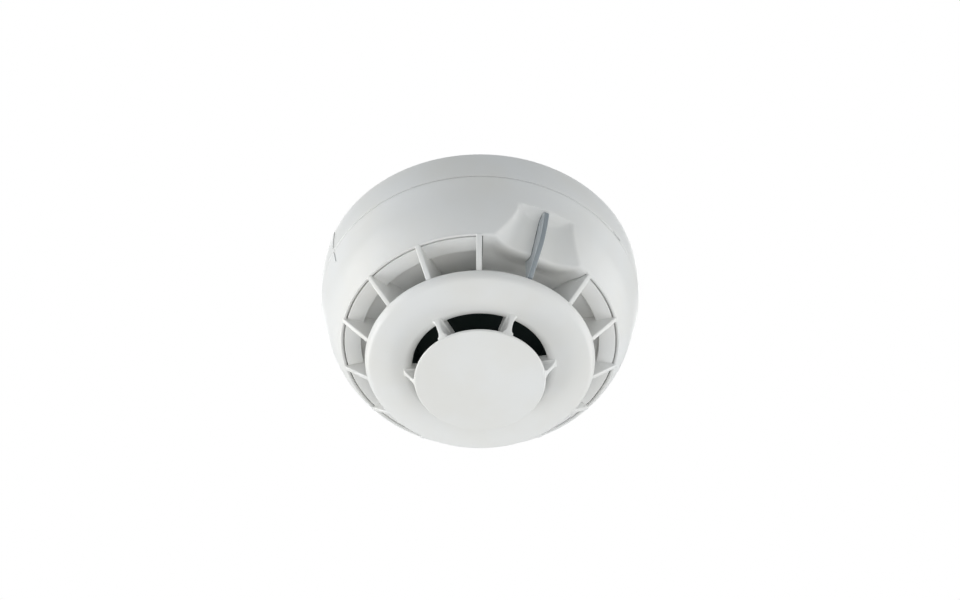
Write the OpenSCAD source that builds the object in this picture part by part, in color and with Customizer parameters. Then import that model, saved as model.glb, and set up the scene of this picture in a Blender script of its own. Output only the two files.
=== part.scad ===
// Ceiling heat detector: a twist-lock head on a surface base.
// The ceiling plane is z = 0 and the detector hangs below it. Azimuths are counted from the
// status lamp, which faces -Y, anticlockwise as seen from above.

/* [Overall] */
// Widest radius of the body
body_r = 55.1; // [53:0.1:68]
// Height of the base, from the ceiling to the middle of the parting line
base_h = 12.8; // [12.8:0.1:18]
// Height of the head's skirt, from the parting line to its lower rim
skirt_h = 21.8; // [19:0.1:26.5]
// Height of the gap at the parting line
part_gap = 0.3; // [0.2:0.05:0.5]
// Thickness of the outer walls
wall = 2; // [1.6:0.1:2.4]

/* [Body profile] */
// How much the base's side bulges between the ceiling and its widest height
barrel = 0.6; // [0:0.1:1]
// Depth below the ceiling of the base's widest height
barrel_z = 8; // [6:0.5:10]
// Angle of the skirt's straight stretch from the vertical
skirt_slope = 12; // [6:0.5:15]
// Height of the skirt's straight stretch
skirt_straight_h = 10.1; // [7:0.1:12]
// How far the skirt's lower rim stands in from the widest radius
rim_inset = 7.75; // [6:0.05:9]

/* [Base] */
// Thickness of the base's ceiling plate
plate_t = 2; // [1.6:0.1:3]
// Radius of the cable entry
entry_r = 9; // [6:0.5:11]
// Distance between the centres of the two fixing slots
slot_spacing = 60; // [56:0.5:64]
// Half width of a fixing slot
slot_r = 2.25; // [2:0.05:2.75]
// Length of a fixing slot, end to end
slot_length = 14.5; // [10:0.5:15]
// Radius at which the terminal screws stand
terminal_r = 35; // [34:0.5:38]
// Height of a terminal boss below the plate
boss_h = 4; // [3.5:0.1:4.5]
// Thickness of the sprung terminal strips
strip_t = 0.5; // [0.4:0.05:0.6]

/* [Twist lock] */
// Angle that the head turns through to come free
twist_angle = 20; // [18:1:24]
// Arc of one bayonet lug
lug_arc = 16; // [12:0.5:17]
// Thickness of the bayonet lugs
lug_t = 2.2; // [1.8:0.1:2.6]
// Clearance above the ledges that carry the lugs
lug_gap = 0.2; // [0.1:0.05:0.3]
// Radial clearance around the bayonet collar
collar_gap = 0.4; // [0.3:0.05:0.6]
// Thickness of the bayonet collar
collar_t = 2.3; // [1.8:0.1:2.6]
// Azimuth of the release slot
release_az = 33; // [30:1:36]
// Width of the release slot
release_w = 4.6; // [4:0.1:5]
// Travel of the locking tab
tab_travel = 2; // [1.6:0.1:2.4]

/* [Front cover] */
// Thickness of the front cover's walls
cover_t = 1.6; // [1.4:0.1:2]
// Gap around the cover's ring
cover_gap = 0.6; // [0.3:0.05:0.8]
// How far the recess behind the disc starts inside the rim
recess_inset = 6.85; // [6:0.05:8]
// Depth of the recess above the cover's ring
recess_h = 2.4; // [2:0.1:3]
// How far the deflector disc's edge stands in from the rim
disc_inset = 8.3; // [7.5:0.1:10]
// How far the deflector disc's edge hangs below the rim
disc_drop = 9.3; // [8:0.1:12]
// Radius of the disc's outer fillet
disc_fillet = 2.8; // [2:0.1:3]
// Number of equal places around the inlet, one of them taken by the light pipe
vane_places = 14; // [12:1:16]
// Thickness of a vane
vane_t = 1.9; // [1.6:0.1:2.4]
// Radius of the opening in the disc
window_r = 22.95; // [21:0.05:25]
// Radius of the nose cap
cap_r = 22.18; // [20:0.02:22.6]
// How far the nose cap hangs below the disc's edge
cap_drop = 10.75; // [9:0.05:13]
// Number of ribs that hold the nose cap
rib_count = 6; // [5:1:8]
// Thickness of a rib
rib_t = 1.6; // [1.2:0.1:2]

/* [Lamp scoop] */
// Height of the scoop above the rim
scoop_h = 13.1; // [11:0.1:14]
// Depth of the scoop at the rim
scoop_depth = 5.05; // [4:0.05:5.2]
// Half width of the scoop at the rim
scoop_w = 15.2; // [12:0.1:16]
// Thickness of the light pipe's blade
pipe_t = 1.8; // [1.4:0.1:2.2]
// Clearance around the light pipe
pipe_gap = 0.15; // [0.1:0.05:0.3]

/* [Electronics] */
// Clearance around the circuit board
board_gap = 1.2; // [0.8:0.1:1.6]
// Thickness of the circuit board
board_t = 1.6; // [1:0.1:1.6]
// Thickness of the chassis plate
chassis_t = 1.8; // [1.5:0.1:2.2]
// Radius of the status lamp's dome
lamp_r = 1.5; // [1.2:0.05:1.6]
// Radius of the thermistor bead
bead_r = 1.3; // [0.9:0.05:1.5]
// Radius of the thermistor's support tube
tube_r = 2.4; // [2.2:0.1:3]

/* [Hidden] */
$fn = 96;
eps = 0.01;

// Heights
base_z = -(base_h - part_gap / 2);
head_z = -(base_h + part_gap / 2);
rim_z = -(base_h + skirt_h);
plate_z = -plate_t;
chassis_z = head_z - 2.15;
chassis_low_z = chassis_z - chassis_t;
board_z = chassis_low_z - 1.4;
board_low_z = board_z - board_t;
cover_z = rim_z - 0.4;
cover_top_z = cover_z + cover_t;
recess_z = cover_z + recess_h;
recess_top_z = recess_z + cover_t;
disc_z = rim_z - disc_drop;
disc_rim_z = disc_z + 0.55;
disc_top_z = disc_z - 1.35;
cap_z = disc_z - cap_drop;
cap_t = 1.7;
cap_top_z = cap_z + cap_t;

// Radii
rim_r = body_r - rim_inset;
base_low_r = base_side_r(base_z);
base_in_r = body_r - barrel - wall;
edge_r = 0.35;
mark_az = -91;

// The skirt leaves the parting line straight and rolls in to the rim on one tangent arc
skirt_p = [base_low_r - skirt_straight_h * tan(skirt_slope), head_z - skirt_straight_h];
skirt_c = [rim_r, rim_z] - skirt_p;
skirt_n = [-cos(skirt_slope), sin(skirt_slope)];
roll_r = (skirt_c * skirt_c) / (2 * (skirt_c * skirt_n));
roll_p = skirt_p + roll_r * skirt_n;
roll_end = atan2(rim_z - roll_p[1], rim_r - roll_p[0]);

// Radii of what fits inside
ledge_in_r = base_in_r - 2.3;
collar_out_r = ledge_in_r - collar_gap;
collar_in_r = collar_out_r - collar_t;
recess_r = rim_r - recess_inset;
recess_out_r = recess_r + cover_t;
disc_r = rim_r - disc_inset;
skirt_in_r = skirt_r(chassis_low_z) - wall / cos(skirt_slope);
chassis_r = skirt_in_r - 0.3;
cover_r = rim_r - cover_gap;
rebate_r = cover_r + 0.2;

// Twist lock
lug_azimuths = [90, 210, 330];
ledge_arc = lug_arc + 2;
ledge_z = plate_z - 8.8;
ledge_t = 1.6;
lug_z = ledge_z + lug_gap;
tab_w = 6;
tab_t = 2.2;
tab_gap = 0.15;
tooth_z = [chassis_z + 1.3, chassis_z + 3.1];
tab_face_r = collar_in_r - 0.4;
guide_z = plate_z - 4.4;

// Terminals
terminal_azimuths = [60, 120, 240, 300];
earth_azimuth = 180;
boss_z = plate_z - boss_h;
strip_z = boss_z - strip_t;
clamp_t = 0.8;
screw_r = 1.5;
screw_head_r = 2.9;
screw_head_h = 2;
nose_z = strip_z - 3;
blade_r = [terminal_r - 13.5, terminal_r - 8];
blade_z = nose_z - 0.15;
blade_t = 0.6;
leg_arc = 8;

// Fixings of the head
chassis_screw_azimuths = [75, 195, 315];
chassis_screw_r = collar_in_r - 3.6;
chassis_boss_r = 3.2;
board_r = chassis_screw_r - chassis_boss_r - board_gap;
board_screw_azimuths = [20, 140, 260];
board_screw_r = board_r - 5.5;
hook_azimuths = [60, 120, 240, 300];
hook_r = [recess_out_r + 1, recess_out_r + 2.2];
hook_top_z = cover_top_z + 3.6;
ledge_low_r = hook_r[1] + 0.3;

// Lamp
vane_pitch = 360 / vane_places;
tongue_arc = 2 * (vane_pitch - asin((vane_t / 2 + 0.25) / recess_r));
lamp_pos_r = board_r - 2.8;
lamp_low_z = board_low_z - 3.7;

// Sensing chamber
baffle_r = window_r + 0.9;
baffle_in_r = baffle_r - 1.4;
baffle_z = disc_top_z + 0.3;
bead_z = cap_top_z + 2.3;

// ---- Outlines, as [radius, height] ----

// The base's side, a shallow parabola that is widest at barrel_z
function base_side_r(z) = body_r - barrel * pow((z + barrel_z) / barrel_z, 2);

function skirt_r(z) = z > skirt_p[1]
    ? base_low_r + (z - head_z) * tan(skirt_slope)
    : roll_p[0] + sqrt(max(0, pow(roll_r, 2) - pow(z - roll_p[1], 2)));

// Points down the skirt, a distance `inward` inside its outer face
function skirt_points(inward, steps = 10) = concat(
    inward > 0 ? [[base_low_r - inward / cos(skirt_slope), head_z]]
        : arc_points([base_low_r - edge_r, head_z - edge_r], edge_r, 90, 0, 4),
    [for (i = [0:steps]) let (a = -skirt_slope + (roll_end + skirt_slope) * i / steps)
        roll_p + (roll_r - inward) * [cos(a), sin(a)]]);

function arc_points(centre, r, a0, a1, steps) =
    [for (i = [0:steps]) let (a = a0 + (a1 - a0) * i / steps) centre + r * [cos(a), sin(a)]];

function reversed(list) = [for (i = [len(list) - 1:-1:0]) list[i]];

// The scoop's floor in the lamp's plane: straight up from the rim, then a soft turn outwards
scoop_run = [4.4, 7.6] * scoop_h / 13.1;
scoop_foot = [rim_r - scoop_depth, rim_z];
scoop_knee = scoop_foot + scoop_run;
scoop_head = [skirt_r(rim_z + scoop_h) + 0.4, rim_z + scoop_h];
scoop_in = [-0.87, 0.5];
function scoop_turn(t) = pow(1 - t, 2) * scoop_knee + 2 * t * (1 - t) * (scoop_knee + scoop_run / 2)
    + pow(t, 2) * scoop_head;

// ---- Placing ----

module at(azimuth) rotate([0, 0, azimuth - 90]) children();

module sector(r_in, r_out, z_low, z_high, arc)
    rotate([0, 0, -arc / 2])
        rotate_extrude(angle = arc) translate([r_in, z_low]) square([r_out - r_in, z_high - z_low]);

module ring(r_in, r_out, z_low, z_high)
    rotate_extrude() translate([r_in, z_low]) square([r_out - r_in, z_high - z_low]);

// A plate that stands in a plane through the axis, from its outline in that plane
module radial_plate(points, t)
    rotate([90, 0, 0]) translate([0, 0, -t / 2]) linear_extrude(t) polygon(points);

module post(x, r, z_low, z_high) translate([x, 0, z_low]) cylinder(r = r, h = z_high - z_low);

module block(x, y, z) translate([x[0], y[0], z[0]]) cube([x[1] - x[0], y[1] - y[0], z[1] - z[0]]);

// ---- Base ----

module fixing_slot() {
    reach = slot_length / 2 - slot_r;
    for (s = [-1, 1]) translate([s * reach, 0, plate_z - 1]) cylinder(r = slot_r, h = plate_t + 2);
    block([-reach, reach], [-slot_r, slot_r], [plate_z - 1, 1]);
}

module terminal_boss(inner) block([inner, terminal_r + 5], [-4.5, 4.5], [boss_z, plate_z + eps]);

module tab_guide() difference() {
    block([tab_face_r - 7.7, tab_face_r - 0.2], [-5, 5], [guide_z, plate_z + eps]);
    block([0, body_r], [-tab_w / 2 - tab_gap, tab_w / 2 + tab_gap], [plate_z - 2.8, plate_z - 0.8]);
    block([0, body_r], [-1.3 - tab_gap, 1.3 + tab_gap], [guide_z - 1, plate_z - 0.8]);
}

module release_cut() block([collar_out_r, body_r + 1], [-release_w / 2, release_w / 2],
    [head_z - 0.3, base_z + 0.3]);

module alignment_ridge(z_low, z_high) {
    side = [for (z = [z_high:-1:z_low]) [z > head_z + eps ? base_side_r(z) : skirt_r(z), z]];
    at(mark_az) radial_plate(concat([for (p = side) p + [0.35, 0]],
        reversed([for (p = side) p - [0.6, 0]])), 0.5);
}

// The base is one moulding, kept as its plate and its wall
module base_plate() color("white") difference() {
    union() {
        ring(entry_r, base_in_r, plate_z, 0);
        ring(entry_r, entry_r + 1.6, plate_z - 2, plate_z + eps);
        for (a = terminal_azimuths) at(a) terminal_boss(terminal_r - 6);
        at(earth_azimuth) terminal_boss(terminal_r - 5);
        at(release_az) tab_guide();
    }
    for (s = [-1, 1]) translate([s * slot_spacing / 2, 0, 0]) fixing_slot();
    for (a = concat(terminal_azimuths, [earth_azimuth]))
        at(a) post(terminal_r, screw_r + 0.05, boss_z - 1, plate_z + 0.6);
}

module base_wall() color("white") {
    top = base_side_r(0) - edge_r;
    low = base_low_r - edge_r;
    side = [for (i = [1:7]) let (z = base_z * (8 - i) / 8) [base_side_r(z), z]];
    difference() {
        union() {
            rotate_extrude() polygon(concat([[base_in_r, 0], [base_in_r, base_z]],
                arc_points([low, base_z + edge_r], edge_r, -90, 0, 4), side,
                arc_points([top, -edge_r], edge_r, 0, 90, 4)));
            for (a = lug_azimuths) {
                at(a + 1.25)
                    sector(ledge_in_r, base_in_r + 0.5, ledge_z - ledge_t, ledge_z, ledge_arc + 2.5);
                at(a + ledge_arc / 2 + 0.75)
                    sector(ledge_in_r + 0.3, base_in_r + 0.4, ledge_z - 0.5, lug_z + lug_t, 3);
            }
        }
        at(release_az) release_cut();
    }
    alignment_ridge(base_z + edge_r + 0.15, -2.6);
}

module terminal_strip(azimuth) color("gold") at(azimuth) difference() {
    edge = terminal_r - 6;
    radial_plate([[terminal_r + 4.5, boss_z], [edge, boss_z], [edge - 5, nose_z + strip_t],
        [edge - 6, nose_z + strip_t], [edge - 8, nose_z + strip_t + 1.2], [edge - 8.3, nose_z + 0.8],
        [edge - 6.2, nose_z], [edge - 4.8, nose_z], [edge - 0.2, strip_z],
        [terminal_r + 4.5, strip_z]], 6.5);
    post(terminal_r, screw_r + 0.15, strip_z - 1, boss_z + 1);
}

module terminal_clamps() color("silver") for (a = concat(terminal_azimuths, [earth_azimuth])) {
    seat_z = a == earth_azimuth ? boss_z : strip_z;
    at(a) difference() {
        block([terminal_r - 3.8, terminal_r + 3.8], [-3.8, 3.8], [seat_z - clamp_t, seat_z]);
        post(terminal_r, screw_r + 0.15, seat_z - clamp_t - 1, seat_z + 1);
    }
}

module slotted_screw(head_z_top, shank_r, head_r, head_h, shank_top_z) difference() {
    union() {
        translate([0, 0, head_z_top - head_h]) cylinder(r = head_r, h = head_h);
        translate([0, 0, head_z_top - eps]) cylinder(r = shank_r, h = shank_top_z - head_z_top + eps);
    }
    for (turn = [0, 90]) rotate([0, 0, turn])
        block([-head_r * 0.7, head_r * 0.7], [-0.35, 0.35],
            [head_z_top - head_h - 1, head_z_top - head_h / 2]);
}

module terminal_screws() color("silver") for (a = concat(terminal_azimuths, [earth_azimuth])) {
    seat_z = a == earth_azimuth ? boss_z : strip_z;
    at(a) translate([terminal_r, 0, 0])
        slotted_screw(seat_z - clamp_t, screw_r, screw_head_r, screw_head_h, plate_z);
}

module locking_tab() color("gainsboro") at(release_az) {
    arm = [tab_face_r - tab_travel - tab_t, tab_face_r - tab_travel];
    block(arm, [-tab_w / 2, tab_w / 2], [plate_z - 2.8 + tab_gap, plate_z - 0.8 - tab_gap]);
    block([arm[0] - 2.6, arm[1]], [-1.3, 1.3], [guide_z - 0.4, plate_z - 0.8 - tab_gap]);
    block([arm[0] - 2.6, arm[1]], [-tab_w / 2, tab_w / 2], [guide_z - 2, guide_z - 0.3]);
    block(arm, [-tab_w / 2, tab_w / 2], [tooth_z[0], guide_z - 0.3]);
    block([arm[0], tab_face_r + 0.2], [-tab_w / 2, tab_w / 2], tooth_z);
}

// ---- Head ----

// The scoop's hollow, grown by a distance all round for the wall behind it
module scoop_solid(grow) {
    floor_line = concat([scoop_foot - scoop_run / 9.5], [for (i = [0:6]) scoop_turn(i / 6)]);
    side = [for (p = floor_line) p + grow * scoop_in];
    top_z = side[len(side) - 1][1];
    corner = 5;
    half_top = scoop_w * 0.78 + grow;
    right = concat([[scoop_w + grow, rim_z - 1]],
        arc_points([half_top - corner, top_z - corner], corner, 10, 90, 5));
    at(0) intersection() {
        radial_plate(concat(side, [[body_r + 2, top_z], [body_r + 2, side[0][1]]]), 4 * scoop_w);
        rotate([90, 0, 90]) linear_extrude(body_r + 2)
            polygon(concat(right, reversed([for (p = right) [-p[0], p[1]]])));
    }
}

// The slot that lets the light pipe through the scoop's wall
module pipe_slot() at(0) radial_plate([scoop_foot + 0.55 * scoop_run + [1, -0.2],
    scoop_knee + [1, -0.2], scoop_knee, [lamp_pos_r, lamp_low_z + 0.1],
    [lamp_pos_r, lamp_low_z - 3.2], scoop_foot + 0.55 * scoop_run], pipe_t + 2 * pipe_gap);

module skirt_ring(outer, inner) difference() {
    rotate_extrude() polygon(concat(outer, [[rim_r - 1.9, rim_z]], reversed(inner)));
    ring(0, rebate_r, rim_z - 1, cover_top_z);
}

module head_shell() color("white") {
    outer = skirt_points(0);
    ledge_top_z = cover_top_z + 1.8;
    boss_low_z = chassis_low_z - 12;
    difference() {
        union() {
            skirt_ring(outer, skirt_points(wall));
            ring(skirt_in_r - 2.6, skirt_in_r + 0.4, chassis_low_z - 1.5, chassis_low_z);
            ring(ledge_low_r, skirt_r(ledge_top_z) - wall / 2, cover_top_z, ledge_top_z);
            for (a = chassis_screw_azimuths) at(a) {
                post(chassis_screw_r, chassis_boss_r, boss_low_z, chassis_low_z);
                block([chassis_screw_r, skirt_r(boss_low_z) - 1], [-1.2, 1.2],
                    [boss_low_z, chassis_low_z]);
            }
            at(0) sector(recess_r, rim_r - 0.2, cover_z, cover_top_z + eps, tongue_arc);
            at(0) sector(recess_r, recess_out_r, cover_z, recess_top_z, tongue_arc);
            intersection() {
                scoop_solid(wall);
                rotate_extrude() polygon(concat(outer, [[0, rim_z], [0, head_z]]));
            }
        }
        scoop_solid(0);
        pipe_slot();
        for (a = chassis_screw_azimuths) at(a)
            post(chassis_screw_r, 1.35, chassis_low_z - 10, chassis_low_z + 1);
        at(release_az) release_cut();
    }
    alignment_ridge(head_z - 5.2, head_z - edge_r - 0.15);
}

// The chassis is one moulding, kept as its plate and its bayonet collar
module head_chassis() color("whitesmoke") difference() {
    union() {
        ring(0, chassis_r, chassis_low_z, chassis_z);
        for (a = board_screw_azimuths) at(a) post(board_screw_r, 2.5, board_z, chassis_low_z + eps);
    }
    for (a = terminal_azimuths) at(a + twist_angle / 2)
        sector(blade_r[0] + 1.8, blade_r[0] + 4.2, chassis_low_z - 1, chassis_z + 1, leg_arc + 1);
    for (a = chassis_screw_azimuths) at(a)
        post(chassis_screw_r, 1.6, chassis_low_z - 1, chassis_z + 1);
    for (a = chassis_screw_azimuths) at(a)
        post(chassis_screw_r, 2.9, chassis_z - 1, chassis_z + 1);
    for (a = board_screw_azimuths) at(a) post(board_screw_r, 1.05, board_z - 1, chassis_z - 0.6);
}

// The tab's tooth enters one window with the head locked, and the other at the end of the turn
module bayonet_collar() color("whitesmoke") difference() {
    union() {
        ring(collar_in_r, collar_out_r, chassis_z, lug_z + lug_t);
        for (a = lug_azimuths) at(a)
            sector(collar_out_r - 0.5, base_in_r - collar_gap, lug_z, lug_z + lug_t, lug_arc);
    }
    for (a = [release_az, release_az + twist_angle]) at(a)
        block([collar_in_r - 1, collar_out_r + 1], [-tab_w / 2 - 0.4, tab_w / 2 + 0.4],
            [tooth_z[0] - 0.4, tooth_z[1] + 0.4]);
}

// An arc that the terminal's strip stays on over the whole twist, and its leg down to the board
module contact_blade(azimuth) color("gold") at(azimuth + twist_angle / 2) {
    sector(blade_r[0], blade_r[1], blade_z - blade_t, blade_z, twist_angle + 14);
    sector(blade_r[0] + 2, blade_r[0] + 4, board_z, blade_z - blade_t + eps, leg_arc);
}

module chassis_screws() color("silver") for (a = chassis_screw_azimuths)
    at(a) translate([chassis_screw_r, 0, 0]) mirror([0, 0, 1])
        slotted_screw(-(chassis_z - 1), 1.3, 2.6, 0.9, -(chassis_low_z - 9));

module circuit_board() color("darkgreen") difference() {
    ring(0, board_r, board_low_z, board_z);
    for (a = board_screw_azimuths) at(a) post(board_screw_r, 1.3, board_low_z - 1, board_z + 1);
    for (s = [-1, 1]) translate([s * 0.7, 0, board_low_z - 1]) cylinder(r = 0.3, h = board_t + 2);
}

module board_screws() color("silver") for (a = board_screw_azimuths)
    at(a) translate([board_screw_r, 0, 0])
        slotted_screw(board_low_z, 1, 2.1, 1.4, chassis_z - 0.8);

// A component's body that stands on the board's underside
module on_board(x, y, size) translate([x, y, board_low_z])
    block([-size[0] / 2, size[0] / 2], [-size[1] / 2, size[1] / 2], [-size[2], 0]);

module controller_chip() color("dimgray") on_board(-14, -10, [7, 7, 1.2]);

module reservoir_capacitor() color("slategray") translate([-13, 13, board_low_z - 5.6])
    cylinder(r = 3.15, h = 5.6);

module bridge_rectifier() color("dimgray") on_board(13, 14, [6.5, 5, 2.4]);

module surge_suppressor() color("dimgray") on_board(21, 3, [4.6, 2.8, 2.2]);

module resistors() color("black") for (i = [0:3], j = [0:1])
    on_board(9 + 4 * i, -12 - 4 * j, [2, 1.25, 0.6]);

module reference_thermistor() color("saddlebrown") on_board(-26, 2, [1.6, 0.8, 0.8]);

module status_lamp() color("red") at(0) {
    post(lamp_pos_r, lamp_r, board_low_z - 2.2, board_low_z);
    translate([lamp_pos_r, 0, board_low_z - 2.2]) sphere(r = lamp_r);
}

// A clear blade in the scoop, with a tail through the slot that ends at the lamp
module light_pipe() color("lightblue") at(0) {
    top_z = rim_z + scoop_h - 1.1;
    out = [pipe_gap, -pipe_gap / 2];
    face = [for (i = [0:6]) let (z = top_z + (rim_z - top_z) * i / 6) [skirt_r(z) - 0.1, z]];
    heel_r = disc_r - 1.5;
    tail = [lamp_pos_r - lamp_r, lamp_pos_r + lamp_r];
    radial_plate(concat(face,
        [[disc_r + 0.3, disc_rim_z + 0.4], [heel_r, disc_rim_z + 0.3], [heel_r, cover_z - 0.2],
            [scoop_foot[0], cover_z - 0.2], scoop_foot + out, scoop_foot + 0.6 * scoop_run + out,
            [tail[0], lamp_low_z - 2.8], [tail[0], lamp_low_z - 0.3], [tail[1], lamp_low_z - 0.3],
            scoop_foot + 0.95 * scoop_run + out],
        [for (i = [0:4]) scoop_turn(i / 6) + out]), pipe_t);
}

// ---- Front cover, one moulding kept as simple pieces ----

module tongue_gap() at(0)
    sector(recess_r - 0.3, body_r, cover_z - 1, recess_top_z + 1, tongue_arc + 0.6);

module cover_ring() color("white") difference() {
    union() {
        rotate_extrude() polygon([[cover_r, cover_z], [cover_r, cover_top_z],
            [recess_out_r, cover_top_z], [recess_out_r, recess_z], [recess_r, recess_z],
            [recess_r, cover_z]]);
        for (a = hook_azimuths) at(a) {
            sector(hook_r[0], hook_r[1], cover_top_z - eps, hook_top_z, 10);
            sector(hook_r[1] - eps, hook_r[1] + 1.4, cover_top_z + 2, hook_top_z, 10);
        }
    }
    tongue_gap();
}

module recess_plate() color("white") difference() {
    ring(baffle_r + 0.4, recess_out_r, recess_z, recess_top_z);
    tongue_gap();
}

module cover_vanes() color("white") for (i = [1:vane_places - 1]) at(i * vane_pitch)
    radial_plate([[rim_r - 0.7, cover_z], [disc_r + 0.1, disc_rim_z], [disc_r - 9, disc_rim_z],
        [disc_r - 9, recess_z], [recess_r - 0.05, recess_z], [recess_r - 0.05, cover_z]], vane_t);

module disc_solid() {
    lip_r = 4.6;
    lip_rise = 1.14;
    crown_z = disc_z - 3.95;
    crown_r = (disc_r + window_r) / 2 - 2.45;
    lip_run = sqrt(2 * lip_r * lip_rise - pow(lip_rise, 2));
    lip_centre = [window_r + lip_run, crown_z + lip_r];
    lip_end = -90 - atan2(lip_run, lip_r - lip_rise);
    rotate_extrude() polygon(concat(
        [[disc_r - 1.9, disc_rim_z], [disc_r - 0.35, disc_rim_z]],
        arc_points([disc_r - disc_fillet, disc_z], disc_fillet, 0, -75, 6),
        [[crown_r, crown_z]],
        arc_points(lip_centre, lip_r, -90, lip_end, 4),
        [[window_r, disc_top_z], [disc_r - 3.1, disc_top_z]]));
}

module cover_disc() color("white") disc_solid();

module cover_ribs() color("white") for (i = [0:rib_count - 1]) at(i * 360 / rib_count)
    difference() {
        radial_plate([[cap_r - 6, cap_top_z], [cap_r - 0.1, cap_top_z],
            [window_r + 2.85, disc_z - 4.2], [window_r + 2.85, disc_top_z],
            [cap_r - 6, disc_top_z]], rib_t);
        disc_solid();
    }

module nose_cap() color("white") rotate_extrude() polygon(concat([[0, cap_z]],
    arc_points([cap_r - 0.6, cap_z + 0.6], 0.6, -90, 0, 4), [[cap_r, cap_top_z], [0, cap_top_z]]));

// ---- Sensing chamber ----

// The baffle is one moulding, kept as its plate and its slotted wall
module baffle_plate() color("darkslategray")
    ring(tube_r + 0.2, baffle_r + 2, recess_top_z, recess_top_z + 1.2);

module sensor_baffle() color("darkslategray") difference() {
    ring(baffle_in_r, baffle_r, baffle_z, recess_top_z);
    for (i = [0:7]) at(i * 45 + 22.5)
        block([baffle_in_r - 1, baffle_r + 1], [-2.5, 2.5], [baffle_z + 2, recess_z - 2]);
}

module thermistor_tube() color("darkslategray") difference() {
    union() {
        ring(1.3, 4.5, board_low_z - 1.2, board_low_z);
        ring(1.3, tube_r, bead_z + 4, board_low_z - 1);
    }
}

module thermistor_leads() color("silver") for (s = [-1, 1])
    translate([s * 0.7, 0, bead_z + 1.25]) cylinder(r = 0.22, h = board_z - bead_z - 1.25);

module thermistor_bead() color("saddlebrown") translate([0, 0, bead_z]) sphere(r = bead_r);

base_plate();
base_wall();
terminal_strip(terminal_azimuths[0]);  // terminal_strip_1
terminal_strip(terminal_azimuths[1]);  // terminal_strip_2
terminal_strip(terminal_azimuths[2]);  // terminal_strip_3
terminal_strip(terminal_azimuths[3]);  // terminal_strip_4
terminal_clamps();
terminal_screws();
locking_tab();
head_shell();
head_chassis();
bayonet_collar();
contact_blade(terminal_azimuths[0]);  // contact_blade_1
contact_blade(terminal_azimuths[1]);  // contact_blade_2
contact_blade(terminal_azimuths[2]);  // contact_blade_3
contact_blade(terminal_azimuths[3]);  // contact_blade_4
chassis_screws();
circuit_board();
board_screws();
controller_chip();
reservoir_capacitor();
bridge_rectifier();
surge_suppressor();
resistors();
reference_thermistor();
status_lamp();
light_pipe();
cover_ring();
recess_plate();
cover_vanes();
cover_disc();
cover_ribs();
nose_cap();
baffle_plate();
sensor_baffle();
thermistor_tube();
thermistor_leads();
thermistor_bead();
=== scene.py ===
"""Looks of a ceiling heat detector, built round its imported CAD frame.

The head's skirt, the front cover, the lamp blade and the sensing bead are modelled here. The other
pieces are the CAD nodes, and each takes a procedural finish. Sizes are in millimetres in the
classes and in metres in the meshes.
"""

import logging
import math
from dataclasses import dataclass, field
from enum import Enum
from typing import Any, Callable, Dict, List, Optional, Sequence, Tuple, Union

import bpy
import numpy as np
from mathutils import Matrix, Vector


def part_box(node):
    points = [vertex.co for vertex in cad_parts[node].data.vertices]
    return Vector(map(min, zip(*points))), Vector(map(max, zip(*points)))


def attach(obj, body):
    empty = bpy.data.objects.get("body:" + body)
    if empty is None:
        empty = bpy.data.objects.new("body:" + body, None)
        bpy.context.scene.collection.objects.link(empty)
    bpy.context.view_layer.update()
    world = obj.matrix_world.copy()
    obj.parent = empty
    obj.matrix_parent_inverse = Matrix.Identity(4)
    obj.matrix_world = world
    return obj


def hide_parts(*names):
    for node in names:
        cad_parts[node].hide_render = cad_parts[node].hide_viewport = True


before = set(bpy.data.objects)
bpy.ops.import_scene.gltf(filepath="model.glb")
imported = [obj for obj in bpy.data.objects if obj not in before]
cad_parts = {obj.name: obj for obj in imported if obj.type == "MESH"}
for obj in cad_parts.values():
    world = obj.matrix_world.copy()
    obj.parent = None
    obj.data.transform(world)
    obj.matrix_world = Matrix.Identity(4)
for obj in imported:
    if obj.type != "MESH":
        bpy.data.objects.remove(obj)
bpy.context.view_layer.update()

MM = 0.001
SAME = 0.01  # millimetres below which two lengths count as one
Point = Tuple[float, float]
Colour = Tuple[float, float, float]
LOG = logging.getLogger("heat_detector")


class Body(Enum):
    """The CAD bodies that a piece can ride on."""

    BASE = "base"
    LOCK = "lock"
    HEAD = "head"


class Join(Enum):
    """How one solid is combined with another."""

    UNION = "UNION"
    CUT = "DIFFERENCE"


# ---- Shared sizes ----


def node_box(node: str) -> Tuple[np.ndarray, np.ndarray]:
    """Lowest and highest corner of a CAD node.

    Args:
        node: the node's name.

    Returns:
        The two corners in millimetres.
    """
    low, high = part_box(node)
    return np.array(low) / MM, np.array(high) / MM


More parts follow.
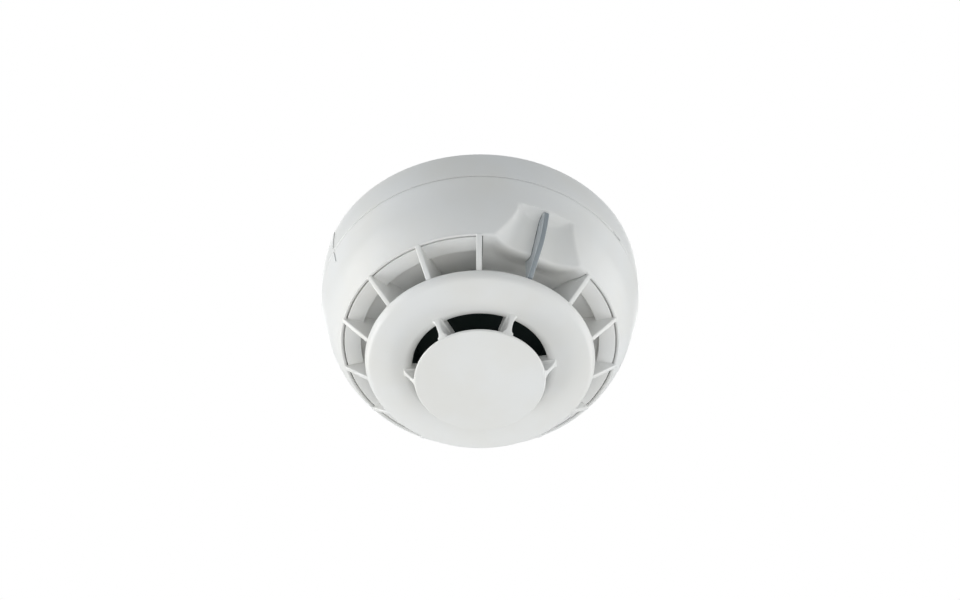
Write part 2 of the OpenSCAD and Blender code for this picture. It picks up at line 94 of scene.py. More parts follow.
@dataclass(frozen=True)
class Form:
    """Heights and radii that several pieces share, in millimetres.

    Attributes:
        head_z: top of the skirt, at the parting line.
        cover_z: underside of the cover's flat ring.
        recess_z: underside of the plate behind the disc.
        recess_top_z: upper face of that plate.
        disc_rim_z: top of the disc's edge.
        crown_z: lowest line of the disc.
        disc_r: widest radius of the disc.
        cap_z: face of the nose cap.
        cap_top_z: back of the nose cap.
        cap_r: radius of the nose cap.
        window_r: radius of the opening in the disc.
        skirt_top_r: radius of the skirt at the parting line.
        rim_r: radius of the skirt's lower rim.
        cover_r: radius of the cover's flat ring.
        recess_r: radius where the recess starts.
        tongue_r: radius where the tongue's lip ends.
        hole_r: radius of the hole in the recess plate.
        tongue_half: half the tongue's arc in degrees.
        ring_t: thickness of the cover's flat ring.
    """

    head_z: float
    cover_z: float
    recess_z: float
    recess_top_z: float
    disc_rim_z: float
    crown_z: float
    disc_r: float
    cap_z: float
    cap_top_z: float
    cap_r: float
    window_r: float = 22.95
    skirt_top_r: float = 54.89
    rim_r: float = 47.75
    cover_r: float = 46.2
    recess_r: float = 40.5
    tongue_r: float = 30.2
    hole_r: float = 24.25
    tongue_half: float = 24.02
    ring_t: float = 1.6

    @property
    def rim_z(self) -> float:
        """Height of the skirt's lower rim."""
        return self.cover_z + 0.4

    @property
    def disc_z(self) -> float:
        """Height of the middle of the disc's edge."""
        return self.crown_z + 3.95

    @classmethod
    def from_frame(cls) -> "Form":
        """Reads the heights and radii off the CAD nodes' boxes."""
        shell, ring, plate = node_box("head_shell"), node_box("cover_ring"), node_box("recess_plate")
        disc, cap = node_box("cover_disc"), node_box("nose_cap")
        return cls(
            head_z=shell[1][2],
            cover_z=ring[0][2],
            recess_z=plate[0][2],
            recess_top_z=plate[1][2],
            disc_rim_z=disc[1][2],
            crown_z=disc[0][2],
            disc_r=disc[1][0],
            cap_z=cap[0][2],
            cap_top_z=cap[1][2],
            cap_r=cap[1][0],
        )


def arc(centre: Point, radius: float, start: float, end: float, steps: int) -> List[Point]:
    """Points along an arc.

    Args:
        centre: the arc's centre.
        radius: its radius.
        start: angle of the first point, in degrees.
        end: angle of the last point, in degrees.
        steps: number of spans.

    Returns:
        The points, both ends included.
    """
    angles = np.radians(np.linspace(start, end, steps + 1))
    return [(centre[0] + radius * math.cos(a), centre[1] + radius * math.sin(a)) for a in angles]


def oblong(radii: Point, heights: Point) -> List[Point]:
    """Corners of the upright rectangle between two radii and two heights."""
    (r0, r1), (z0, z1) = radii, heights
    return [(r0, z0), (r1, z0), (r1, z1), (r0, z1)]


def bezier(first: Point, middle: Point, last: Point, steps: int) -> List[Point]:
    """Points along a quadratic curve.

    Args:
        first: where the curve starts.
        middle: the point that pulls it.
        last: where it ends.
        steps: number of spans.

    Returns:
        The points, both ends included.
    """
    a, b, c = (np.array(p) for p in (first, middle, last))
    shares = np.linspace(0, 1, steps + 1)
    return [tuple((1 - t) ** 2 * a + 2 * t * (1 - t) * b + t * t * c) for t in shares]


# ---- Modelling ----


class Bench:
    """Modelling steps made of Blender's own operators. Azimuth 0 faces -Y and grows anticlockwise."""

    @staticmethod
    def clear() -> None:
        """Leaves edit mode and deselects everything."""
        if bpy.context.object is not None and bpy.context.object.mode != "OBJECT":
            bpy.ops.object.mode_set(mode="OBJECT")
        bpy.ops.object.select_all(action="DESELECT")

    @staticmethod
    def activate(obj: bpy.types.Object) -> None:
        """Leaves edit mode and selects only this object."""
        Bench.clear()
        obj.select_set(True)
        bpy.context.view_layer.objects.active = obj

    @staticmethod
    def edit(obj: bpy.types.Object) -> None:
        """Opens one object in edit mode."""
        Bench.activate(obj)
        bpy.ops.object.mode_set(mode="EDIT")

    @staticmethod
    def outline(name: str, points: Sequence[Point], closed: bool = True) -> bpy.types.Object:
        """Draws an outline in the plane of azimuth 90 by extruding one corner along it.

        Args:
            name: the new object's name.
            points: the outline as (radius, height).
            closed: whether the last point joins the first, which makes a face.

        Returns:
            The object, left in edit mode with all of it selected.
        """
        spots = [Vector((r * MM, 0, z * MM)) for r, z in points]
        Bench.clear()
        bpy.ops.mesh.primitive_plane_add(size=MM, location=spots[0])
        obj = bpy.context.object
        obj.name = obj.data.name = name
        bpy.ops.object.transform_apply(location=True, rotation=False, scale=False)
        bpy.ops.object.mode_set(mode="EDIT")
        bpy.ops.mesh.merge(type="CENTER")
        for here, there in zip(spots, spots[1:]):
            bpy.ops.mesh.extrude_vertices_move(TRANSFORM_OT_translate={"value": there - here})
        bpy.ops.mesh.select_all(action="SELECT")
        if closed:
            bpy.ops.mesh.edge_face_add()
        return obj

    @staticmethod
    def turn(obj: bpy.types.Object, sweeps: Sequence[Tuple[float, int]], start: float = 90.0) -> None:
        """Spins an outline about the vertical axis.

        Args:
            obj: an object fresh from outline().
            sweeps: degrees and number of steps of each sweep, one after the other.
            start: azimuth at which the first sweep starts.
        """
        bpy.ops.object.mode_set(mode="OBJECT")
        obj.rotation_euler = (0, 0, math.radians(start - 90))
        bpy.ops.object.transform_apply(location=False, rotation=True, scale=False)
        bpy.ops.object.mode_set(mode="EDIT")
        bpy.ops.mesh.select_all(action="SELECT")
        if abs(sum(angle for angle, _ in sweeps) - 360) < 1e-6 and obj.data.polygons:
            bpy.ops.mesh.delete(type="ONLY_FACE")
            bpy.ops.mesh.select_all(action="SELECT")
        for angle, steps in sweeps:
            bpy.ops.mesh.spin(steps=steps, angle=math.radians(angle), center=(0, 0, 0), axis=(0, 0, -1))
        Bench.close_up()

    @staticmethod
    def close_up() -> None:
        """Merges doubles and turns all normals outwards, then leaves edit mode."""
        bpy.ops.mesh.select_all(action="SELECT")
        bpy.ops.mesh.remove_doubles(threshold=0.002 * MM)
        bpy.ops.mesh.normals_make_consistent(inside=False)
        bpy.ops.object.mode_set(mode="OBJECT")

    @staticmethod
    def thicken(obj: bpy.types.Object, thickness: float) -> None:
        """Extrudes an outline's face to a plate that is centred on its plane.

        Args:
            obj: an object fresh from outline().
            thickness: the plate's thickness.
        """
        bpy.ops.transform.translate(value=(0, -thickness * MM / 2, 0))
        bpy.ops.mesh.extrude_region_move(TRANSFORM_OT_translate={"value": (0, thickness * MM, 0)})
        Bench.close_up()

    @staticmethod
    def plate(name: str, points: Sequence[Point], thickness: float) -> bpy.types.Object:
        """A plate of an outline's shape, centred on the plane of azimuth 90."""
        obj = Bench.outline(name, points)
        Bench.thicken(obj, thickness)
        return obj

    @staticmethod
    def lathe(name: str, points: Sequence[Point], steps: int, closed: bool = True) -> bpy.types.Object:
        """A full turn of an outline, in a number of steps."""
        obj = Bench.outline(name, points, closed)
        Bench.turn(obj, [(360, steps)])
        return obj

    @staticmethod
    def place(obj: bpy.types.Object, azimuth: float) -> None:
        """Turns a finished plate from azimuth 90 to its own azimuth, in its mesh."""
        obj.data.transform(Matrix.Rotation(math.radians(azimuth - 90), 4, "Z"))

    @staticmethod
    def round_edges(
        obj: bpy.types.Object, width: float, segments: int, chosen: Callable[[Vector, Vector], bool]
    ) -> None:
        """Bevels the edges that a test picks.

        Args:
            obj: the object.
            width: the bevel's width.
            segments: its number of segments.
            chosen: says, from an edge's two ends in millimetres, whether it is rounded.
        """
        Bench.edit(obj)
        bpy.ops.mesh.select_all(action="DESELECT")
        bpy.ops.mesh.select_mode(type="EDGE")
        bpy.ops.object.mode_set(mode="OBJECT")
        spots = [v.co / MM for v in obj.data.vertices]
        for edge in obj.data.edges:
            edge.select = chosen(spots[edge.vertices[0]], spots[edge.vertices[1]])
        bpy.ops.object.mode_set(mode="EDIT")
        bpy.ops.mesh.bevel(offset=width * MM, segments=segments, affect="EDGES", clamp_overlap=True)
        bpy.ops.mesh.select_mode(type="VERT")
        Bench.close_up()

    @staticmethod
    def slice_level(obj: bpy.types.Object, heights: Sequence[float]) -> None:
        """Cuts level rows of edges into an object so that it can be shaped between them."""
        Bench.edit(obj)
        for z in heights:
            bpy.ops.mesh.select_all(action="SELECT")
            bpy.ops.mesh.bisect(plane_co=(0, 0, z * MM), plane_no=(0, 0, 1))
        Bench.close_up()

    @staticmethod
    def combine(obj: bpy.types.Object, other: bpy.types.Object, how: Join) -> None:
        """Joins another solid to an object or cuts it out, and removes the other one.

        Args:
            obj: the object that is kept.
            other: the solid that is used up.
            how: union or cut.
        """
        Bench.activate(obj)
        step = obj.modifiers.new(other.name, "BOOLEAN")
        step.operation, step.object, step.solver = how.value, other, "EXACT"
        bpy.ops.object.modifier_apply(modifier=step.name)
        bpy.data.objects.remove(other)

    @staticmethod
    def copies(obj: bpy.types.Object, azimuths: Sequence[float]) -> bpy.types.Object:
        """Places copies of a plate round the axis, each with its own mesh, and joins them.

        Args:
            obj: the plate at azimuth 90.
            azimuths: where the copies go.

        Returns:
            One object that holds them all.
        """
        made = []
        for azimuth in azimuths:
            twin = obj.copy()
            twin.data = obj.data.copy()
            bpy.context.scene.collection.objects.link(twin)
            Bench.place(twin, azimuth)
            made.append(twin)
        Bench.activate(made[0])
        for twin in made:
            twin.select_set(True)
        bpy.ops.object.join()
        bpy.data.objects.remove(obj)
        return bpy.context.object

    @staticmethod
    def smooth(obj: bpy.types.Object, angle: float = 32.0) -> None:
        """Shades an object smooth, apart from edges sharper than an angle in degrees."""
        Bench.activate(obj)
        bpy.ops.object.shade_smooth_by_angle(angle=math.radians(angle))

    @staticmethod
    def sector(
        name: str, radii: Point, heights: Point, azimuth: float, width: float, steps: int
    ) -> bpy.types.Object:
        """A curved block between two radii and two heights.

        Args:
            name: the object's name.
            radii: inner and outer radius.
            heights: lower and upper face.
            azimuth: the azimuth of its middle.
            width: its arc in degrees.
            steps: spans along the arc.

        Returns:
            The block.
        """
        obj = Bench.outline(name, oblong(radii, heights))
        Bench.turn(obj, [(width, steps)], azimuth - width / 2)
        return obj


# ---- Shader wiring ----

Feed = Union[float, Tuple[float, ...], "Wire"]
Key = Union[int, str]
Tint = Union[Colour, "Wire"]


class Wire:
    """A socket whose arithmetic adds Math nodes to its tree."""

    def __init__(self, tree: "Tree", socket: bpy.types.NodeSocket) -> None:
        """Keeps the socket and the tree that it belongs to."""
        self.tree = tree
        self.socket = socket

    def math(self, operation: str, first: Feed, second: Feed) -> "Wire":
        """One Math node on two values."""
        return self.tree.add("ShaderNodeMath", {"operation": operation}, {0: first, 1: second})

    def __add__(self, other: Feed) -> "Wire":
        """self + other."""
        return self.math("ADD", self, other)

    __radd__ = __add__

    def __sub__(self, other: Feed) -> "Wire":
        """self - other."""
        return self.math("SUBTRACT", self, other)

    def __rsub__(self, other: Feed) -> "Wire":
        """other - self."""
        return self.math("SUBTRACT", other, self)

    def __mul__(self, other: Feed) -> "Wire":
        """self * other."""
        return self.math("MULTIPLY", self, other)

    __rmul__ = __mul__

    def __pow__(self, other: Feed) -> "Wire":
        """self ** other."""
        return self.math("POWER", self, other)

    def above(self, edge: float, softness: float) -> "Wire":
        """Goes from 0 to 1 as the value passes an edge.

        Args:
            edge: the value in the middle of the change.
            softness: the width of the change.

        Returns:
            The mask.
        """
        settings = {"interpolation_type": "SMOOTHSTEP"}
        values = {0: self, 1: edge - softness / 2, 2: edge + softness / 2}
        return self.tree.add("ShaderNodeMapRange", settings, values)


class Tree:
    """A material's nodes, each added by one method."""

    def __init__(self, name: str) -> None:
        """Starts an empty material with its output."""
        self.material = bpy.data.materials.new(name)
        self.material.use_nodes = True
        self.nodes = self.material.node_tree.nodes
        self.links = self.material.node_tree.links
        self.nodes.clear()
        self.output = self.nodes.new("ShaderNodeOutputMaterial")

    def add(
        self, kind: str, settings: Dict[str, Any], inputs: Dict[Key, Feed], output: Key = 0
    ) -> Wire:
        """Adds a node.

        Args:
            kind: the node's type.
            settings: its own settings.
            inputs: values or wires for its sockets, by number or name.
            output: the socket that is returned.

        Returns:
            The chosen output.
        """
        node = self.nodes.new(kind)
        for key, value in settings.items():
            setattr(node, key, value)
        for key, value in inputs.items():
            if isinstance(value, Wire):
                self.links.new(value.socket, node.inputs[key])
            else:
                node.inputs[key].default_value = value
        return Wire(self, node.outputs[output])

    def place(self, stretch: Tuple[float, float, float] = (1, 1, 1)) -> Wire:
        """Object coordinates, stretched along the axes."""
        spot = self.add("ShaderNodeTexCoord", {}, {}, "Object")
        return self.add("ShaderNodeMapping", {}, {"Vector": spot, "Scale": stretch})

    def noise(
        self, size: float, detail: float, rough: float, stretch: Tuple[float, float, float] = (1, 1, 1)
    ) -> Wire:
        """Soft noise from 0 to 1 whose blots are about `size` millimetres wide."""
        values = {"Vector": self.place(stretch), "Scale": 1 / (size * MM)}
        values.update({"Detail": detail, "Roughness": rough})
        return self.add("ShaderNodeTexNoise", {"normalize": True}, values)

    def cells(self, size: float) -> Wire:
        """Distance to cell centres, for cells about `size` millimetres wide."""
        values = {"Vector": self.place(), "Scale": 1 / (size * MM)}
        return self.add("ShaderNodeTexVoronoi", {}, values, "Distance")

    def axis(self, name: str) -> Wire:
        """One object coordinate, in millimetres."""
        spot = self.add("ShaderNodeTexCoord", {}, {}, "Object")
        return self.add("ShaderNodeSeparateXYZ", {}, {0: spot}, name) * (1 / MM)

    def radius(self) -> Wire:
        """Distance from the vertical axis, in millimetres."""
        x, y = self.axis("X"), self.axis("Y")
        return (x * x + y * y) ** 0.5

    def blend(self, mask: Feed, first: Tint, second: Tint) -> Wire:
        """Mixes two colours by a mask."""
        pair = [c if isinstance(c, Wire) else (*c, 1.0) for c in (first, second)]
        node = self.nodes.new("ShaderNodeMix")
        node.data_type = "RGBA"
        for index, value in ((0, mask), (6, pair[0]), (7, pair[1])):
            if isinstance(value, Wire):
                self.links.new(value.socket, node.inputs[index])
            else:
                node.inputs[index].default_value = value
        return Wire(self, node.outputs[2])

    def bump(self, height: Wire, depth: float, strength: float, normal: Optional[Wire] = None) -> Wire:
        """Turns a height from 0 to 1 into a normal.

        Args:
            height: the height.
            depth: its depth in millimetres.
            strength: how strongly it shows.
            normal: a bump underneath.

        Returns:
            The normal.
        """
        values: Dict[Key, Feed] = {"Strength": strength, "Distance": depth * MM, "Height": height}
        if normal is not None:
            values["Normal"] = normal
        return self.add("ShaderNodeBump", {}, values)

    def finish(self, inputs: Dict[Key, Feed]) -> bpy.types.Material:
        """Ends the material in a Principled surface with these inputs."""
        surface = self.add("ShaderNodeBsdfPrincipled", {}, inputs)
        self.links.new(surface.socket, self.output.inputs["Surface"])
        return self.material


def shade(colour: Colour, factor: float) -> Colour:
    """A colour made lighter or darker."""
    return tuple(min(1.0, c * factor) for c in colour)


@dataclass(frozen=True)
class MouldedPlastic:
    """Injection-moulded plastic with a fine spark-eroded grain.

    Attributes:
        name: the material's name.
        colour: its colour.
        roughness: mean roughness.
        grain: width of the grain.
        grain_depth: depth of the grain.
        mottle: how much its tone drifts.
        warm: tint of the drifted tone.
        specular: strength of the reflection.
    """

    name: str
    colour: Colour
    roughness: float = 0.4
    grain: float = 0.22
    grain_depth: float = 0.006
    mottle: float = 0.03
    warm: Colour = (1.0, 0.985, 0.955)
    specular: float = 0.5

    def build(self) -> bpy.types.Material:
        """Makes the material.

        Returns:
            The material.
        """
        tree = Tree(self.name)
        drift = tree.noise(26, 3, 0.55)
        specks = tree.noise(1.6, 4, 0.6)
        toned = tuple(c * w * (1 - self.mottle) for c, w in zip(self.colour, self.warm))
        colour = tree.blend(drift.above(0.5, 0.5), self.colour, toned)
        colour = tree.blend(specks.above(0.68, 0.14) * 0.35, colour, shade(self.colour, 0.94))
        grain = tree.noise(self.grain, 2, 0.6)
        pits = tree.cells(self.grain * 2.6)
        flow = tree.noise(7, 2, 0.4)
        normal = tree.bump(flow, 0.03, 0.35)
        normal = tree.bump(grain * 0.7 + pits * 0.3, self.grain_depth, 0.8, normal)
        rough = (drift - 0.5) * 0.1 + (specks - 0.5) * 0.08 + (grain - 0.5) * 0.06 + self.roughness
        return tree.finish(
            {
                "Base Color": colour,
                "Roughness": rough,
                "Normal": normal,
                "Specular IOR Level": self.specular,
                "IOR": 1.49,
            }
        )


@dataclass(frozen=True)
class PlatedMetal:
    """Sheet or turned metal with a brushed or barrel-plated skin.

    Attributes:
        name: the material's name.
        colour: its colour.
        tarnish: colour of its dull patches.
        roughness: mean roughness.
        stretch: how the scratches run along X, Y and Z.
    """

    name: str
    colour: Colour
    tarnish: Colour
    roughness: float = 0.3
    stretch: Tuple[float, float, float] = (1, 1, 8)

    def build(self) -> bpy.types.Material:
        """Makes the material.

        Returns:
            The material.
        """
        tree = Tree(self.name)
        patches = tree.noise(2.4, 4, 0.6)
        scratches = tree.noise(0.35, 3, 0.7, self.stretch)
        pits = tree.cells(0.5)
        dull = patches.above(0.6, 0.2)
        colour = tree.blend(dull * 0.6, self.colour, self.tarnish)
        colour = tree.blend((scratches - 0.3) * 0.25, colour, shade(self.colour, 0.75))
        normal = tree.bump(scratches, 0.01, 0.6)
        normal = tree.bump(pits, 0.004, 0.4, normal)
        rough = dull * 0.14 + (scratches - 0.5) * 0.15 + self.roughness
        return tree.finish({"Base Color": colour, "Metallic": 1.0, "Roughness": rough, "Normal": normal})


@dataclass(frozen=True)
class BoardLaminate:
    """Glass-cloth circuit board under solder resist, with copper tracks that stand a little proud.

    Attributes:
        name: the material's name.
        resist: colour over bare laminate.
        track: colour over copper.
        core: colour of the cut edge.
    """

    name: str
    resist: Colour = (0.012, 0.11, 0.045)
    track: Colour = (0.03, 0.2, 0.075)
    core: Colour = (0.42, 0.4, 0.22)

    def build(self) -> bpy.types.Material:
        """Makes the material.

        Returns:
            The material.
        """
        tree = Tree(self.name)
        ways = tree.add(
            "ShaderNodeTexVoronoi",
            {"feature": "DISTANCE_TO_EDGE"},
            {"Vector": tree.place((1, 1, 0.01)), "Scale": 1 / (5.5 * MM), "Randomness": 0.55},
            "Distance",
        )
        copper = 1 - ways.above(0.09, 0.03)
        weave = tree.noise(0.5, 2, 0.5, (1, 1, 0.2))
        edge = tree.radius().above(39.35, 0.06)
        colour = tree.blend(copper, self.resist, self.track)
        colour = tree.blend(weave * 0.25, colour, shade(self.resist, 1.8))
        colour = tree.blend(edge, colour, self.core)
        normal = tree.bump(copper, 0.035, 0.8)
        normal = tree.bump(weave, 0.01, 0.5, normal)
        rough = weave * 0.15 + edge * 0.35 + 0.22
        return tree.finish({"Base Color": colour, "Roughness": rough, "Normal": normal})


@dataclass(frozen=True)
class CoatedPart:
    """A dipped, sleeved or moulded electronic part.

    Attributes:
        name: the material's name.
        colour: its colour.
        roughness: mean roughness.
        orange_peel: depth of its uneven coat.
        clear: share of light that passes through.
        coat: weight of a glossy coat.
    """

    name: str
    colour: Colour
    roughness: float = 0.35
    orange_peel: float = 0.02
    clear: float = 0.0
    coat: float = 0.0

    def build(self) -> bpy.types.Material:
        """Makes the material.

        Returns:
            The material.
        """
        tree = Tree(self.name)
        runs = tree.noise(1.1, 3, 0.5)
        fine = tree.noise(0.16, 3, 0.6)
        colour = tree.blend(runs.above(0.5, 0.5), shade(self.colour, 0.82), shade(self.colour, 1.15))
        colour = tree.blend(fine * 0.2, colour, shade(self.colour, 0.7))
        normal = tree.bump(runs, self.orange_peel, 0.7)
        normal = tree.bump(fine, 0.004, 0.5, normal)
        rough = (runs - 0.5) * 0.12 + (fine - 0.5) * 0.1 + self.roughness
        return tree.finish(
            {
                "Base Color": colour,
                "Roughness": rough,
                "Normal": normal,
                "Transmission Weight": self.clear,
                "Coat Weight": self.coat,
                "Coat Roughness": 0.08,
            }
        )


@dataclass(frozen=True)
class ClearBlade:
    """Clear polished acrylic with a painted shade on its narrow faces: a darker, cooler tint that stands
    in for the look along the sheet there.

    Attributes:
        name: the material's name.
        colour: tint of its sides.
        painted_edge_shade: the painted shade on its narrow faces, darker than its sides.
    """

    name: str
    colour: Colour = (0.8, 0.85, 0.88)
    painted_edge_shade: Colour = (0.38, 0.43, 0.46)

    def build(self) -> bpy.types.Material:
        """Makes the material.

        Returns:
            The material.
        """
        tree = Tree(self.name)
        side = tree.axis("X")
        # Mask of the narrow faces, where the shade is painted.
        edge = 1 - (side * side).above(0.6, 0.2)
        swirl = tree.noise(3.5, 2, 0.5, (1, 1, 0.4))
        fine = tree.noise(0.3, 2, 0.5)
        # Painted shade: the narrow faces take the darker, cooler tint.
        colour = tree.blend(edge, self.colour, self.painted_edge_shade)
        colour = tree.blend(swirl * 0.3, colour, shade(self.colour, 0.85))
        normal = tree.bump(swirl, 0.02, 0.4)
        rough = swirl * 0.06 + fine * 0.05 + 0.1
        return tree.finish(
            {
                "Base Color": colour,
                "Roughness": rough,
                "Normal": normal,
                "Transmission Weight": 0.35,
                "IOR": 1.49,
            }
        )


# ---- Pieces ----


@dataclass
class SkirtLine:
    """The skirt's outer profile: a straight stretch that rolls in to the rim on one arc.

    Attributes:
        form: the shared sizes.
        slope: angle of the straight stretch from the vertical, in degrees.
        straight: its height.
    """

    form: Form
    slope: float = 12.0
    straight: float = 10.1

    def __post_init__(self) -> None:
        """Works out the arc."""
        tilt = math.radians(self.slope)
        form = self.form
        knee_r = form.skirt_top_r - self.straight * math.tan(tilt)
        self.knee = np.array([knee_r, form.head_z - self.straight])
        chord = np.array([form.rim_r, form.rim_z]) - self.knee
        normal = np.array([-math.cos(tilt), math.sin(tilt)])
        self.roll = chord @ chord / (2 * chord @ normal)
        self.centre = self.knee + self.roll * normal

    def radius(self, z: Union[float, np.ndarray]) -> np.ndarray:
        """Radius of the outer face at a height."""
        straight = self.form.skirt_top_r + (z - self.form.head_z) * math.tan(math.radians(self.slope))
        rolled = self.centre[0] + np.sqrt(np.maximum(0, self.roll**2 - (z - self.centre[1]) ** 2))
        return np.where(z > self.knee[1], straight, rolled)


@dataclass
class LampScoop:
    """The hollow in the skirt that shows the lamp blade.

    Attributes:
        form: the shared sizes.
        skirt: the skirt's outer profile.
        depth: depth at the rim.
        height: height above the rim.
        run: rise of its floor, as (radius, height), up to the knee.
        turn: how far the knee's curve runs on, as a share of the rise.
        foot_w: half width at the rim.
        top_w: half width at the top.
        softness: how soft the edge between skirt and scoop is.
        past: how far the floor passes the skirt's face at its top.
        squareness: how square the hollow is across, as a power.
    """

    form: Form
    skirt: SkirtLine
    depth: float = 5.45
    height: float = 11.9
    run: Point = (5.6, 9.7)
    turn: float = 0.2
    foot_w: float = 15.6
    top_w: float = 9.9
    softness: float = 0.3
    past: float = 0.4
    squareness: float = 3.4

    def foot(self) -> np.ndarray:
        """Lowest point of the floor in the lamp's plane."""
        return np.array([self.form.rim_r - self.depth, self.form.rim_z])

    def floor(self, steps: int = 24) -> np.ndarray:
        """The floor in the lamp's plane, from the foot up.

        Args:
            steps: spans along the soft turn at the top.

        Returns:
            Points as (radius, height), rising.
        """
        foot, run = self.foot(), np.array(self.run)
        knee = foot + run
        top_z = self.form.rim_z + self.height
        head = (self.skirt.radius(top_z) + self.past, top_z)
        return np.array([tuple(foot), *bezier(tuple(knee), tuple(knee + self.turn * run), head, steps)])

    def sink(self, azimuth: float, z: np.ndarray) -> np.ndarray:
        """How far the skirt is pushed in at places above each other.

        Args:
            azimuth: their azimuth in degrees.
            z: their heights.

        Returns:
            The inward distances.
        """
        least, fall, soft_top, soft_run = 1.3, 2.2, 0.3, 2.5
        side_end, side_fade, top_end, top_fade = 1.32, 0.14, 2.2, 0.8
        line, skirt = self.floor(), self.skirt
        top_z = line[-1, 1]
        middle = skirt.radius(np.minimum(z, top_z)) - np.interp(z, line[:, 1], line[:, 0])
        middle = np.where(z > top_z, -self.past - fall * (z - top_z), middle)
        share = np.clip((z - self.form.rim_z) / self.height, 0, 1)
        half = self.top_w + (self.foot_w - self.top_w) * (1 - share) ** 2
        across = np.abs(skirt.radius(z) * np.sin(np.radians(np.full(len(z), azimuth)))) / half
        hollow = middle - np.maximum(middle, least) * across**self.squareness
        soft = self.softness + soft_top * np.clip((z - top_z + soft_run) / soft_run, 0, 1)
        pushed = (hollow + np.sqrt(hollow**2 + soft**2)) / 2
        fade = np.clip((side_end - across) / side_fade, 0, 1)
        fade = fade * np.clip((top_z + top_end - z) / top_fade, 0, 1)
        return pushed * fade if abs(azimuth) < 60 else np.zeros(len(z))


